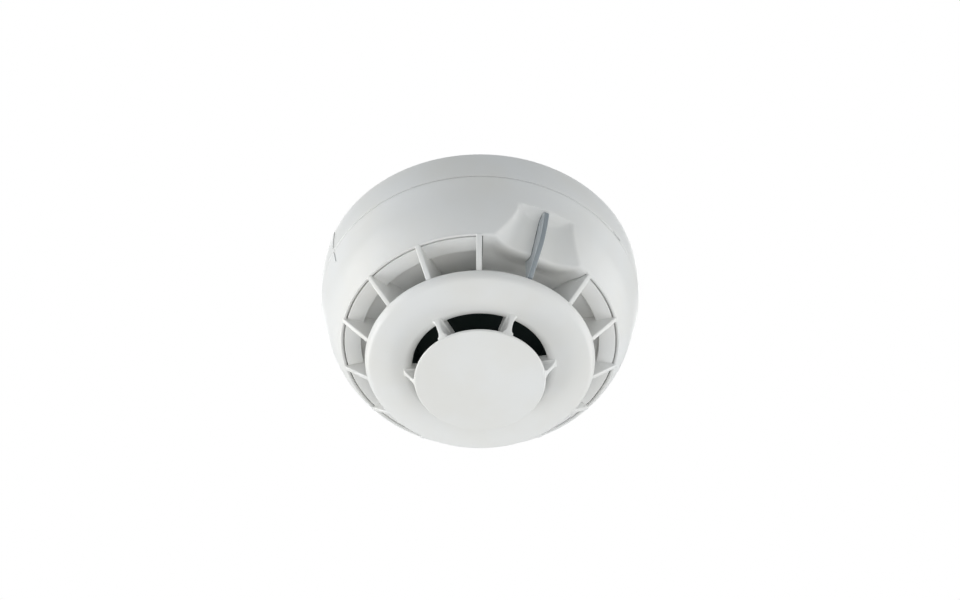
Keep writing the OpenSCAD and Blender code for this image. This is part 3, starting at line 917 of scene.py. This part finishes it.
@dataclass
class HeadSkirt:
    """The head's skirt with its scoop, and the tongue that rolls in behind the disc below the lamp.

    Attributes:
        form: the shared sizes.
        scoop: the lamp scoop.
        edge: radius of the edge at the parting line.
        wall: thickness of the wall.
        gap: width of the gap between rim and cover.
        flat: width of the rim's level edge.
        release_az: azimuth of the release slot.
        ridge_az: azimuth of the alignment ridge.
        drop: how far the rim's lip hangs below the cover.
        boss_azimuths: where the posts for the chassis screws stand.
        lip_steps: spans of the rim's rounded edge.
        roll_steps: spans of the tongue's roll.
        inner_steps: points up the inner face.
    """

    form: Form
    scoop: LampScoop
    edge: float = 0.35
    wall: float = 2.05
    gap: float = 0.38
    flat: float = 1.1
    release_az: float = 33.0
    ridge_az: float = -91.0
    drop: float = 0.08
    boss_azimuths: Tuple[float, ...] = (75, 195, 315)
    lip_steps: int = 4
    roll_steps: int = 18
    inner_steps: int = 13

    def levels(self) -> np.ndarray:
        """Heights of the rows down the outer face, closer together where the scoop is."""
        top, rim = self.form.head_z - self.edge, self.form.rim_z
        return np.concatenate([np.linspace(top, top - 4.2, 5)[1:], np.linspace(top - 4.6, rim, 40)])

    def on_tongue(self, azimuth: float) -> bool:
        """Whether an azimuth lies on the tongue."""
        return abs(azimuth) <= self.form.tongue_half + 0.005

    def outer(self, azimuth: float) -> List[Point]:
        """The outer face at an azimuth, from the parting line down to the rim."""
        form, edge = self.form, self.edge
        z = self.levels()
        r = self.scoop.skirt.radius(z) - self.scoop.sink(azimuth, z)
        top = arc((form.skirt_top_r - edge, form.head_z - edge), edge, 90, 0, 4)
        return top + list(zip(r, z))

    def under(self, azimuth: float, start: float) -> List[Point]:
        """The underside at an azimuth, from the rim inwards.

        Args:
            azimuth: the azimuth in degrees.
            start: radius of the rim there.

        Returns:
            The points after the rim's own.
        """
        form = self.form
        if not self.on_tongue(azimuth):
            rim_z, gap_r = form.rim_z, form.cover_r + self.gap
            low_z, seat_z = form.cover_z - self.drop, form.cover_z + self.form.ring_t
            middle = (start + gap_r) / 2
            lip = bezier((start, rim_z), (start - 0.05, low_z), (middle, low_z), self.lip_steps)
            back = bezier(lip[-1], (gap_r, low_z), (gap_r, rim_z + 0.05), 3)
            wall = [(gap_r, z) for z in np.linspace(rim_z + 0.3, seat_z, self.roll_steps - 2)]
            return lip[1:] + back[1:] + wall + [(gap_r - 0.5, seat_z)]
        flat = min(self.flat, (start - form.tongue_r) * 0.25)
        pull, foot = (start - 0.3 * flat, form.cover_z), (start - flat, form.cover_z)
        corner = bezier((start, form.rim_z), pull, foot, self.lip_steps)
        reach, rise = start - flat - form.tongue_r, form.recess_top_z - 0.8 - form.cover_z
        steps = np.linspace(0, 1, self.roll_steps + 1)
        climb = np.clip(steps * 1.5, 0, 1)
        ease = form.cover_z + rise * climb * climb * (3 - 2 * climb)
        roll = list(zip(start - flat - reach * steps, ease))
        return corner[1:] + roll + [(form.tongue_r, form.recess_top_z - 0.02)]

    def inner(self, azimuth: float) -> List[Point]:
        """The inner face at an azimuth, upwards."""
        form = self.form
        extra, extra_z, extra_run = 0.6, -24, 9
        low = form.recess_top_z if self.on_tongue(azimuth) else form.cover_z + self.form.ring_t
        z = np.linspace(low, form.head_z, self.inner_steps)
        thick = self.wall + extra * np.clip((extra_z - z) / extra_run, 0, 1) ** 2
        r = self.scoop.skirt.radius(z) - self.scoop.sink(azimuth, z) - thick
        return list(zip(np.maximum(r, form.recess_r + 0.3), z))

    def section(self, azimuth: float) -> List[Point]:
        """The whole closed section at an azimuth."""
        outer = self.outer(azimuth)
        return outer + self.under(azimuth, outer[-1][0]) + self.inner(azimuth)

    def build(self) -> bpy.types.Object:
        """Spins the plain section, then moves each column of points to its own section.

        Returns:
            The skirt.
        """
        plain = self.section(180.0)
        obj = Bench.outline("head_skirt", plain)
        Bench.turn(obj, [(60, 120), (300, 150)], -30)
        self.shape(obj, np.array(plain))
        for cutter in (self.release_cutter(), self.blade_cutter()):
            Bench.combine(obj, cutter, Join.CUT)
        Bench.combine(obj, self.ridge(), Join.UNION)
        for post in self.bosses():
            Bench.combine(obj, post, Join.UNION)
        Bench.smooth(obj, 38)
        return obj

    def shape(self, obj: bpy.types.Object, plain: np.ndarray) -> None:
        """Moves the spun mesh's points to the section of their azimuth.

        Args:
            obj: the spun skirt.
            plain: the section it was spun from.
        """
        count = len(obj.data.vertices)
        spots = np.zeros(count * 3)
        obj.data.vertices.foreach_get("co", spots)
        spots = spots.reshape(-1, 3) / MM
        reach = np.hypot(spots[:, 0], spots[:, 1])
        azimuth = np.round(np.degrees(np.arctan2(spots[:, 0], -spots[:, 1])), 3)
        miss = np.abs(reach[:, None] - plain[None, :, 0]) + np.abs(spots[:, 2, None] - plain[None, :, 1])
        index = np.argmin(miss, axis=1)
        beside, edge = 24.5, self.form.tongue_half + 0.02
        for value in np.unique(azimuth):
            here = azimuth == value
            turned = math.copysign(edge, value) if abs(abs(value) - beside) < 0.01 else value
            rows = np.array(self.section(turned))[index[here]]
            way = math.sin(math.radians(turned)), -math.cos(math.radians(turned))
            spots[here] = np.column_stack([rows[:, 0] * way[0], rows[:, 0] * way[1], rows[:, 1]])
        obj.data.vertices.foreach_set("co", (spots * MM).ravel())
        Bench.edit(obj)
        Bench.close_up()

    def release_cutter(self) -> bpy.types.Object:
        """The bar that cuts the release slot out of the skirt's top edge."""
        z, depth, width, soft = self.form.head_z, 0.3, 4.6, 0.15
        obj = Bench.plate("release_slot", oblong((49.5, 56), (z - depth, z + 1)), width)

        def floor_side(a: Vector, b: Vector) -> bool:
            """Whether an edge runs outwards along the slot's floor."""
            return abs(a.z - b.z) < SAME and a.z < z and abs(a.y - b.y) < SAME

        Bench.round_edges(obj, soft, 2, floor_side)
        Bench.place(obj, self.release_az)
        return obj

    def blade_cutter(self) -> bpy.types.Object:
        """The slot that the lamp blade stands in."""
        width = 2.2
        obj = Bench.plate("blade_slot", LampBlade(self.form, self.scoop).points(), width)
        Bench.place(obj, 0)
        return obj

    def ridge(self) -> bpy.types.Object:
        """The alignment ridge on the side."""
        proud, sunk, thickness = 0.35, 0.6, 0.5
        z = np.linspace(self.form.head_z - 0.5, self.form.head_z - 5.2, 7)
        r = self.scoop.skirt.radius(z)
        points = list(zip(r + proud, z)) + list(zip(r[::-1] - sunk, z[::-1]))
        obj = Bench.plate("alignment_ridge", points, thickness)
        Bench.place(obj, self.ridge_az)
        return obj

    def bosses(self) -> List[bpy.types.Object]:
        """The posts that the chassis screws enter, each with its web to the wall."""
        hole_r, post_r, place_r, web_t = 1.35, 3.2, 43.9, 2.4
        top, low = self.form.head_z - 3.95, self.form.head_z - 15.95
        made = []
        for azimuth in self.boss_azimuths:
            post = Bench.lathe("boss", oblong((hole_r, post_r), (low, top)), 32)
            post.data.transform(Matrix.Translation((place_r * MM, 0, 0)))
            web = Bench.plate("web", [(46.6, low), (49.6, low), (52.4, top - 1), (46.6, top - 1)], web_t)
            Bench.combine(post, web, Join.UNION)
            Bench.place(post, azimuth)
            made.append(post)
        return made


@dataclass
class FrontCover:
    """The front cover in one piece: flat ring, recess plate, vanes, disc, ribs and nose cap.

    Attributes:
        form: the shared sizes.
        places: equal places round the inlet, one of them free for the lamp blade.
        vane_t: thickness of a vane.
        rib_t: thickness of a rib.
        flare: height over which a rib widens towards disc and cap.
        ribs: number of ribs.
        hook_azimuths: where the snap hooks stand.
        round_steps: steps of a full turn.
    """

    form: Form
    places: int = 14
    vane_t: float = 1.9
    rib_t: float = 1.7
    ribs: int = 6
    flare: float = 1.9
    hook_azimuths: Tuple[float, ...] = (60, 120, 240, 300)
    round_steps: int = 224

    def ring(self) -> bpy.types.Object:
        """The flat ring and the plate behind the disc, without the tongue's sector."""
        f = self.form
        low, top = f.cover_z, f.cover_z + self.form.ring_t
        edge, bead, wall_r, slack = 0.28, 0.22, 42.1, 0.08
        outer = arc((f.cover_r - edge, low + edge), edge, 0, -90, 4)
        inner = arc((f.recess_r + bead, low - 0.18 + bead), bead, -90, -180, 3)
        points = [(f.cover_r, top), *outer, *inner, (f.recess_r, f.recess_z), (f.hole_r, f.recess_z)]
        points += [(f.hole_r, f.recess_top_z), (wall_r, f.recess_top_z), (wall_r, top)]
        obj = Bench.lathe("front_cover", points, self.round_steps)
        radii, heights = (f.tongue_r - slack, 50), (low - 1, f.recess_top_z + 1)
        gap = Bench.sector("tongue_gap", radii, heights, 0, 2 * self.form.tongue_half + 0.6, 24)
        Bench.combine(obj, gap, Join.CUT)
        return obj

    def vane(self) -> bpy.types.Object:
        """One vane at azimuth 90, with its two lower edges rounded."""
        f = self.form
        tip, foot = (f.rim_r - 0.1, f.cover_z - 0.16), (f.disc_r + 0.02, f.disc_rim_z)
        inner_r, buried_z, top_z = f.disc_r - 9, f.disc_rim_z - 0.6, f.recess_z + 0.4
        points = [tip, foot, (f.disc_r - 4, buried_z), (inner_r, buried_z), (inner_r, top_z)]
        points += [(f.recess_r + 0.5, top_z), (f.cover_r - 0.6, f.cover_z + 0.9)]
        points += [(f.cover_r - 0.1, f.cover_z + 0.25), (f.rim_r - 0.45, f.cover_z + 0.25)]
        obj = Bench.plate("vane", points, self.vane_t)

        def lower(a: Vector, b: Vector) -> bool:
            """Whether an edge is one of the two long lower ones."""
            low = max(a.z, b.z) < f.cover_z + 0.1
            return low and abs(a.x - b.x) > 5 and min(a.x, b.x) > f.disc_r - 1

        Bench.round_edges(obj, 0.42, 3, lower)
        return obj

    def disc(self) -> bpy.types.Object:
        """The deflector disc, with its soft edge and the lip round its opening."""
        f = self.form
        z = f.disc_z
        fillet, back, lip_r, rise, slope = 2.8, 0.5, 4.6, 1.14, 15
        reach = math.sqrt(2 * lip_r * rise - rise**2)
        end = -90 - math.degrees(math.atan2(reach, lip_r - rise))
        crown_r = (f.disc_r + f.window_r) / 2 - 2.45
        edge = arc((f.disc_r - fillet, z), fillet, 0, slope - 90, 12)
        fall = math.tan(math.radians(slope))
        pull = (edge[-1][0] - (edge[-1][1] - f.crown_z) / fall, f.crown_z)
        points = [(f.disc_r - 1.9, f.disc_rim_z)]
        points += arc((f.disc_r - back, f.disc_rim_z - back), back, 90, 10, 4)
        points += edge + bezier(edge[-1], pull, (crown_r, f.crown_z), 8)[1:]
        lip = arc((f.window_r + reach, f.crown_z + lip_r), lip_r, -90, end, 8)
        points += lip[:-1] + [(f.window_r + 0.12, lip[-1][1] - 0.06), (f.window_r, lip[-1][1] + 0.15)]
        points += [(f.window_r, z - 1.55), (f.window_r + 0.2, z - 1.35), (f.disc_r - 3.1, z - 1.35)]
        return Bench.lathe("disc", points, self.round_steps)

    def rib(self) -> bpy.types.Object:
        """One rib at azimuth 90: a plate whose outer edge flares where it meets disc and cap."""
        f = self.form
        top = f.disc_z - 1.3
        points = [(f.cap_r - 0.15, f.cap_top_z - 0.75), (f.window_r + 2.95, f.disc_z - 4.05)]
        points += [(f.window_r + 2.9, f.disc_z - 3.2), (f.window_r + 0.4, top), (f.cap_r - 6, top)]
        points += [(f.cap_r - 6, f.cap_top_z - 0.5)]
        obj = Bench.plate("rib", points, self.rib_t)

        def outer(a: Vector, b: Vector) -> bool:
            """Whether an edge is one of the two long outer ones."""
            return min(a.x, b.x) > f.window_r - 1.05 and abs(a.z - b.z) > 4

        Bench.round_edges(obj, 0.4, 3, outer)
        low, high = f.cap_top_z, f.disc_z - 3.95
        inner_r, fade, widening = 20.4, 1.6, 1.1
        Bench.slice_level(obj, [low + s * self.flare for s in (-0.3, 0.0, 0.15, 0.35, 0.6, 1.0)])
        Bench.slice_level(obj, [high - s * self.flare for s in (1.0, 0.6, 0.35, 0.15, 0.0)])
        for vertex in obj.data.vertices:
            r, z = vertex.co.x / MM, vertex.co.z / MM
            slack = min(max(z - low, 0), max(high - z, 0)) / self.flare
            reach = min(1.0, max(0.0, (r - inner_r) / fade)) if z > (low + high) / 2 else 1.0
            if slack < 1:
                vertex.co.y *= 1 + widening * (1 - math.sqrt(1 - (1 - slack) ** 2)) * reach
        return obj

    def cap(self) -> bpy.types.Object:
        """The nose cap, a flat disc with a rounded edge."""
        f = self.form
        edge, back = 0.55, 0.3
        points = [(0, f.cap_z), (8, f.cap_z), (16, f.cap_z)]
        points += arc((f.cap_r - edge, f.cap_z + edge), edge, -90, 30, 9)
        points += arc((f.cap_r - 1.35, f.cap_top_z - back), back, 42, 90, 3)
        return Bench.lathe("cap", points + [(12, f.cap_top_z), (0, f.cap_top_z)], 160, closed=False)

    def build(self) -> bpy.types.Object:
        """Joins all of it to one moulding.

        Returns:
            The cover.
        """
        obj = self.ring()
        pitch = 360 / self.places
        for part in (
            Bench.copies(self.vane(), [i * pitch for i in range(1, self.places)]),
            self.disc(),
            Bench.copies(self.rib(), [i * 360 / self.ribs for i in range(self.ribs)]),
            self.cap(),
        ):
            Bench.combine(obj, part, Join.UNION)
        low = self.form.cover_z + self.form.ring_t
        hook = ("hook", (43.1, 44.3), (low - 0.2, low + 3.6), 10)
        barb = ("barb", (44.2, 45.7), (low + 2, low + 3.4), 9.6)
        for azimuth in self.hook_azimuths:
            for name, radii, heights, width in (hook, barb):
                Bench.combine(obj, Bench.sector(name, radii, heights, azimuth, width, 5), Join.UNION)
        Bench.smooth(obj, 36)
        return obj


@dataclass
class LampBlade:
    """The clear blade that carries the lamp's light into the scoop.

    Attributes:
        form: the shared sizes.
        scoop: the lamp scoop.
        thickness: the blade's thickness.
        inset: how far its face stands behind the skirt's.
    """

    form: Form
    scoop: LampScoop
    thickness: float = 1.8
    inset: float = 0.1

    def points(self) -> List[Point]:
        """The blade's outline. Its back stands a little way into the scoop's floor."""
        f = self.form
        foot, run = self.scoop.foot(), np.array(self.scoop.run)
        sunk, stem = np.array([-0.5, 0.3]), (35.2, 38.2)
        top_z = f.rim_z + self.scoop.height - 0.9
        z = np.linspace(top_z, f.rim_z, 14)
        face = list(zip(self.scoop.skirt.radius(z) - self.inset, z))
        seat, lamp_z = f.cover_z + 2.4, node_box("status_lamp")[0][2] - 0.1
        points = face + [(f.disc_r + 0.3, f.disc_rim_z + 0.4), (f.disc_r - 1.5, f.disc_rim_z + 0.3)]
        points += [(f.disc_r - 1.5, seat), (foot[0] - 0.8, f.cover_z + 0.8)]
        points += [tuple(foot + 0.5 * run + sunk), (stem[0], lamp_z - 2.8), (stem[0], lamp_z - 0.3)]
        points += [(stem[1], lamp_z - 0.3), tuple(foot + 0.8 * run + sunk)]
        return points + [tuple(p + sunk) for p in self.scoop.floor(6)[1:6]]

    def build(self) -> bpy.types.Object:
        """Extrudes the blade's outline and rounds its long edges.

        Returns:
            The blade.
        """
        obj = Bench.plate("lamp_blade", self.points(), self.thickness)

        def front(a: Vector, b: Vector) -> bool:
            """Whether an edge runs along the blade's outer face."""
            return abs(a.y - b.y) < SAME and self.on_face(a) and self.on_face(b)

        Bench.round_edges(obj, 0.28, 3, front)
        Bench.place(obj, 0)
        Bench.smooth(obj, 40)
        return obj

    def on_face(self, spot: Vector) -> bool:
        """Whether a point lies on the blade's outer face."""
        if spot.z > self.form.rim_z - SAME:
            return abs(spot.x - float(self.scoop.skirt.radius(spot.z)) + self.inset) < 2 * SAME
        return spot.x > self.form.disc_r + 0.2


@dataclass
class SensingBead:
    """The thermistor's dipped bead, which necks up on to its leads.

    Attributes:
        radius: radius of the bead.
        z: height of the bead's centre.
        neck: half width of the neck.
        spread: how much the neck widens along the pair of leads.
        flatness: the bead's depth across them, as a share of its width.
    """

    radius: float
    z: float
    neck: float = 0.5
    spread: float = 1.9
    flatness: float = 0.86

    @classmethod
    def from_frame(cls) -> "SensingBead":
        """Reads the bead's size off its CAD node."""
        low, high = node_box("thermistor_bead")
        return cls(radius=float(high[2] - low[2]) / 2, z=float(low[2] + high[2]) / 2)

    def build(self) -> bpy.types.Object:
        """Spins the drop's outline and flattens it across the leads.

        Returns:
            The bead.
        """
        r, z = self.radius, self.z
        points = [(0.0, z - r), *arc((0, z), r, -80, 42, 14)]
        points += bezier(points[-1], (self.neck, z + 0.9 * r), (self.neck - 0.1, z + 1.45 * r), 5)[1:]
        points += [(0.2, z + 1.5 * r), (0.0, z + 1.5 * r)]
        obj = Bench.lathe("sensing_bead", points, 40, closed=False)
        for vertex in obj.data.vertices:
            rise = (vertex.co.z / MM - z) / r
            share = min(1.0, max(0.0, (rise - 0.5) / 0.5))
            vertex.co.x *= 1 + (self.spread - 1) * share
            vertex.co.y *= self.flatness
        Bench.smooth(obj, 60)
        return obj


# ---- Finishes and assembly ----


@dataclass
class Detector:
    """The whole detector: builds the new pieces and dresses everything."""

    form: Form
    finishes: Dict[str, bpy.types.Material] = field(default_factory=dict)

    SLOTS = {
        "white_plastic": (
            *("base_plate", "base_wall", "head_shell", "head_chassis", "bayonet_collar", "cover_ring"),
            *("recess_plate", "cover_vanes", "cover_disc", "cover_ribs", "nose_cap"),
        ),
        "natural_plastic": ("locking_tab",),
        # These parts take a painted shade colour: near-black, copied from the shade inside the chamber.
        "black_plastic": ("baffle_plate", "sensor_baffle", "thermistor_tube"),
        "sprung_bronze": (
            *(f"terminal_strip_{number}" for number in range(1, 5)),
            *(f"contact_blade_{number}" for number in range(1, 5)),
        ),
        "plated_steel": (
            *("terminal_clamps", "terminal_screws", "chassis_screws", "board_screws"),
            "thermistor_leads",
        ),
        "board_laminate": ("circuit_board",),
        "moulded_package": ("controller_chip", "bridge_rectifier", "surge_suppressor", "resistors"),
        "capacitor_can": ("reservoir_capacitor",),
        "thermistor_body": ("reference_thermistor", "thermistor_bead"),
        "red_lens": ("status_lamp",),
        "clear_plastic": ("light_pipe",),
    }

    def mix_finishes(self) -> None:
        """Makes each slot's material."""
        # Painted shade: the liner's near-black, greenish colour copies the shade seen through the
        # windows inside the chamber.
        baffle = (0.008, 0.017, 0.016)
        painted_shade_liner = MouldedPlastic("painted_shade_baffle", baffle, 0.55, 0.25, 0.012, 0.1, specular=0.25)
        zinc = PlatedMetal("zinc_plate", (0.68, 0.7, 0.72), (0.5, 0.5, 0.46), 0.3, (6, 1, 1))
        nylon = MouldedPlastic("natural_nylon", (0.74, 0.72, 0.64), 0.5, 0.3, 0.01, 0.05)
        made = (
            ("white_plastic", MouldedPlastic("white_satin", (0.83, 0.835, 0.825), 0.36)),
            ("natural_plastic", nylon),
            ("black_plastic", painted_shade_liner),
            ("sprung_bronze", PlatedMetal("tinned_bronze", (0.66, 0.56, 0.38), (0.5, 0.38, 0.22), 0.28)),
            ("plated_steel", zinc),
            ("board_laminate", BoardLaminate("green_board")),
            ("moulded_package", CoatedPart("black_epoxy", (0.03, 0.03, 0.032), 0.5, 0.01)),
            ("capacitor_can", CoatedPart("capacitor_sleeve", (0.05, 0.09, 0.2), 0.3, 0.015, coat=0.4)),
            ("thermistor_body", CoatedPart("dipped_bead", (0.22, 0.07, 0.025), 0.2, 0.03, coat=0.6)),
            ("red_lens", CoatedPart("red_lens", (0.6, 0.02, 0.015), 0.15, 0.01, 0.5, 0.3)),
            # The clear blade carries a painted shade on its narrow faces.
            ("clear_plastic", ClearBlade("clear_with_painted_edge_shade")),
        )
        for slot, finish in made:
            self.finishes[slot] = finish.build()
            LOG.info("finish %s", slot)

    def dress_nodes(self) -> None:
        """Gives every CAD node the material of its slot."""
        slots = {name: slot for slot, names in self.SLOTS.items() for name in names}
        for name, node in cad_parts.items():
            node.data.materials.clear()
            node.data.materials.append(self.finishes[slots[name]])
            LOG.info("node %s dressed", name)

    def add(self, obj: bpy.types.Object, body: Body, slot: str, nodes: Sequence[str]) -> None:
        """Dresses a new piece and ties it to the frame.

        Args:
            obj: the piece.
            body: the body that it rides on.
            slot: its material slot.
            nodes: the CAD nodes that it stands for.
        """
        obj.data.materials.clear()
        obj.data.materials.append(self.finishes[slot])
        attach(obj, body.value)
        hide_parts(*nodes)
        LOG.info("piece %s: %d faces", obj.name, len(obj.data.polygons))

    def build(self) -> None:
        """Builds the pieces in order."""
        self.mix_finishes()
        self.dress_nodes()
        scoop = LampScoop(self.form, SkirtLine(self.form))
        self.add(HeadSkirt(self.form, scoop).build(), Body.HEAD, "white_plastic", ["head_shell"])
        cover = ["cover_ring", "recess_plate", "cover_vanes", "cover_disc", "cover_ribs", "nose_cap"]
        self.add(FrontCover(self.form).build(), Body.HEAD, "white_plastic", cover)
        self.add(LampBlade(self.form, scoop).build(), Body.HEAD, "clear_plastic", ["light_pipe"])
        self.add(SensingBead.from_frame().build(), Body.HEAD, "thermistor_body", ["thermistor_bead"])


# ---- Room ----


@dataclass(frozen=True)
class SoftLight:
    """A soft square light that points at the detector.

    Attributes:
        name: its name.
        azimuth: its direction from the object, in degrees from the camera's own side, to the right.
        elevation: its height above the object's level, in degrees.
        distance: how far away it stands, in metres.
        size: its width in metres.
        power: its power in watts.
        colour: its colour.
    """

    name: str
    azimuth: float
    elevation: float
    distance: float
    size: float
    power: float
    colour: Colour = (1, 1, 1)


@dataclass
class Studio:
    """Camera, lights, white surroundings and a pale floor.

    Attributes:
        aim: the point that the camera and the lights look at.
        view: direction from that point to the camera.
        distance: how far away the camera stands, in metres.
        lens: its focal length in millimetres.
        floor_z: height of the floor in metres.
        fill: strength of the light from all round.
        lights: the soft lights.
    """

    aim: Vector = field(default_factory=lambda: Vector((0, 0, -0.01163)))
    view: Vector = field(default_factory=lambda: Vector((-0.271, -0.574, -0.7726)))
    distance: float = 1.097
    lens: float = 118.6
    floor_z: float = -2.4
    fill: float = 0.5
    lights: Tuple[SoftLight, ...] = (
        SoftLight("left_box", -110, -20, 1.5, 0.9, 11.7, (1, 0.995, 0.985)),
        SoftLight("left_high_box", -82, 10, 1.5, 0.9, 5.3, (1, 1, 1)),
        SoftLight("right_box", 120, -25, 1.5, 0.9, 7.4, (1, 0.995, 0.985)),
        SoftLight("right_high_box", 95, 15, 1.5, 0.9, 3.5, (1, 1, 1)),
        SoftLight("right_low_box", 65, -40, 1.5, 0.9, 2.5, (1, 0.995, 0.985)),
        SoftLight("low_box", 0, -70, 1.5, 1.0, 2.7, (1, 0.99, 0.975)),
        SoftLight("ceiling_box", 180, 66, 1.7, 1.2, 9, (1, 1, 1)),
    )

    def camera(self) -> None:
        """Adds the camera, which looks up at the detector."""
        data = bpy.data.cameras.new("camera")
        data.lens, data.sensor_width = self.lens, 36
        data.clip_start, data.clip_end = 0.01, 50
        camera = bpy.data.objects.new("camera", data)
        bpy.context.scene.collection.objects.link(camera)
        back = self.view.normalized()
        camera.location = self.aim + back * self.distance
        camera.rotation_mode = "QUATERNION"
        camera.rotation_quaternion = (-back).to_track_quat("-Z", "Y")
        bpy.context.scene.camera = camera

    def lamps(self) -> None:
        """Adds the soft lights, which the camera doesn't see."""
        front = math.atan2(self.view.y, self.view.x)
        for light in self.lights:
            data = bpy.data.lights.new(light.name, "AREA")
            data.shape, data.size = "SQUARE", light.size
            data.energy, data.color = light.power, light.colour
            lamp = bpy.data.objects.new(light.name, data)
            bpy.context.scene.collection.objects.link(lamp)
            turn, rise = front + math.radians(light.azimuth), math.radians(light.elevation)
            level = math.cos(rise)
            way = Vector((math.cos(turn) * level, math.sin(turn) * level, math.sin(rise)))
            lamp.location = self.aim + way * light.distance
            lamp.rotation_mode = "QUATERNION"
            lamp.rotation_quaternion = (-way).to_track_quat("-Z", "Y")
            lamp.visible_camera = False

    @staticmethod
    def show_camera(
        tree: bpy.types.NodeTree,
        plain: bpy.types.NodeSocket,
        seen: bpy.types.NodeSocket,
        out: bpy.types.Node,
    ) -> None:
        """Ends a node tree in one shader for the camera and another for all other rays.

        Args:
            tree: the node tree.
            plain: the shader for all other rays.
            seen: the shader that the camera sees.
            out: the tree's output node.
        """
        path, mix = tree.nodes.new("ShaderNodeLightPath"), tree.nodes.new("ShaderNodeMixShader")
        tree.links.new(path.outputs["Is Camera Ray"], mix.inputs["Fac"])
        tree.links.new(plain, mix.inputs[1])
        tree.links.new(seen, mix.inputs[2])
        tree.links.new(mix.outputs[0], out.inputs["Surface"])

    def surroundings(self) -> None:
        """Sets a plain white backdrop and a dimmer, slightly cool fill light."""
        world = bpy.data.worlds.new("studio")
        bpy.context.scene.world = world
        world.use_nodes = True
        nodes = world.node_tree.nodes
        nodes.clear()
        seen, fill = nodes.new("ShaderNodeBackground"), nodes.new("ShaderNodeBackground")
        seen.inputs["Color"].default_value = (1, 1, 1, 1)
        fill.inputs["Color"].default_value = (0.93, 0.97, 1.0, 1)
        fill.inputs["Strength"].default_value = self.fill
        out = nodes.new("ShaderNodeOutputWorld")
        self.show_camera(world.node_tree, fill.outputs[0], seen.outputs[0], out)

    def floor(self) -> None:
        """Adds the plain pale floor far below."""
        Bench.clear()
        bpy.ops.mesh.primitive_plane_add(size=12, location=(0, 0, self.floor_z))
        floor = bpy.context.object
        floor.name = "floor"
        tree = Tree("pale_floor")
        tone = tree.blend(tree.noise(400, 3, 0.5), (0.86, 0.86, 0.86), (0.83, 0.83, 0.83))
        plain = tree.add("ShaderNodeBsdfPrincipled", {}, {"Base Color": tone, "Roughness": 0.8})
        seen = tree.add("ShaderNodeEmission", {}, {"Color": (0.86, 0.86, 0.86, 1)})
        self.show_camera(tree.material.node_tree, plain.socket, seen.socket, tree.output)
        floor.data.materials.append(tree.material)

    def build(self) -> None:
        """Sets up the whole room."""
        self.camera()
        self.lamps()
        self.surroundings()
        self.floor()
        bpy.context.scene.view_settings.view_transform = "Standard"
        LOG.info("studio ready")


def main() -> None:
    """Builds the room and the detector."""
    logging.basicConfig(level=logging.INFO, format="%(name)s: %(message)s")
    Studio().build()
    Detector(Form.from_frame()).build()


if __name__ == "__main__":
    main()
